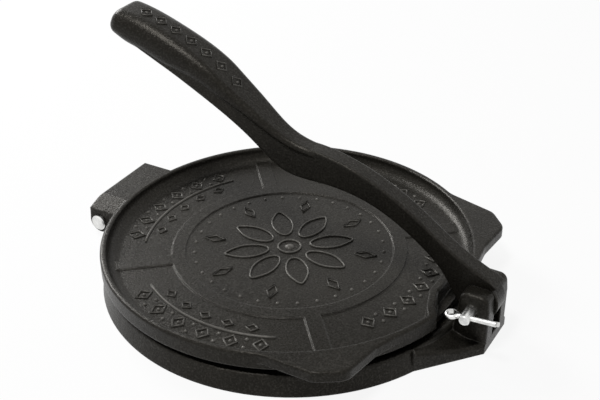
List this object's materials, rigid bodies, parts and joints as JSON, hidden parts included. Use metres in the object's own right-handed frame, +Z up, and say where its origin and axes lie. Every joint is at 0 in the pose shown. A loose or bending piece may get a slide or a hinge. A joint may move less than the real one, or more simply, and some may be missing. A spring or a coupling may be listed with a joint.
{
  "type": "lever press for flatbread dough",
  "caption": "Hand press with a round base, a hinged dished top plate with ears, and a curved lever on a clevis that pushes the plate down on a ball of dough.",
  "frame": {"origin": "on the table under the middle of the whole press, 3.65 mm from the middle of the round base towards the lever's clevis", "axes": "+X from the hinge to the lever's clevis, +Z up, +Y along both pins towards the lever pin's head"},
  "size_m": [0.2573, 0.216, 0.1427],
  "materials": {
    "iron": "seasoned, satin black",
    "zinc": "zinc plated, bright"
  },
  "bodies": {
    "base": {"base": "iron", "lever_pin": "zinc", "hinge_pin": "zinc", "lever_cotter": "zinc", "hinge_cotter": "zinc"},
    "plate": {"top_plate": "iron"},
    "lever": {"lever": "iron"}
  },
  "joints": [
    {"name": "lever_pivot", "type": "hinge", "parent": "base", "child": "lever", "pos_m": [0.11105, 0, 0.0249], "axis": [0, 1, 0], "range_deg": [0, 155]},
    {"name": "plate_hinge", "type": "hinge", "parent": "base", "child": "plate", "pos_m": [-0.12165, 0, 0.0111], "axis": [0, -1, 0], "range_deg": [0, 105]}
  ],
  "couplings": [
    {"joint": "plate_hinge", "follows": "lever_pivot", "ratio": 0.35}
  ]
}
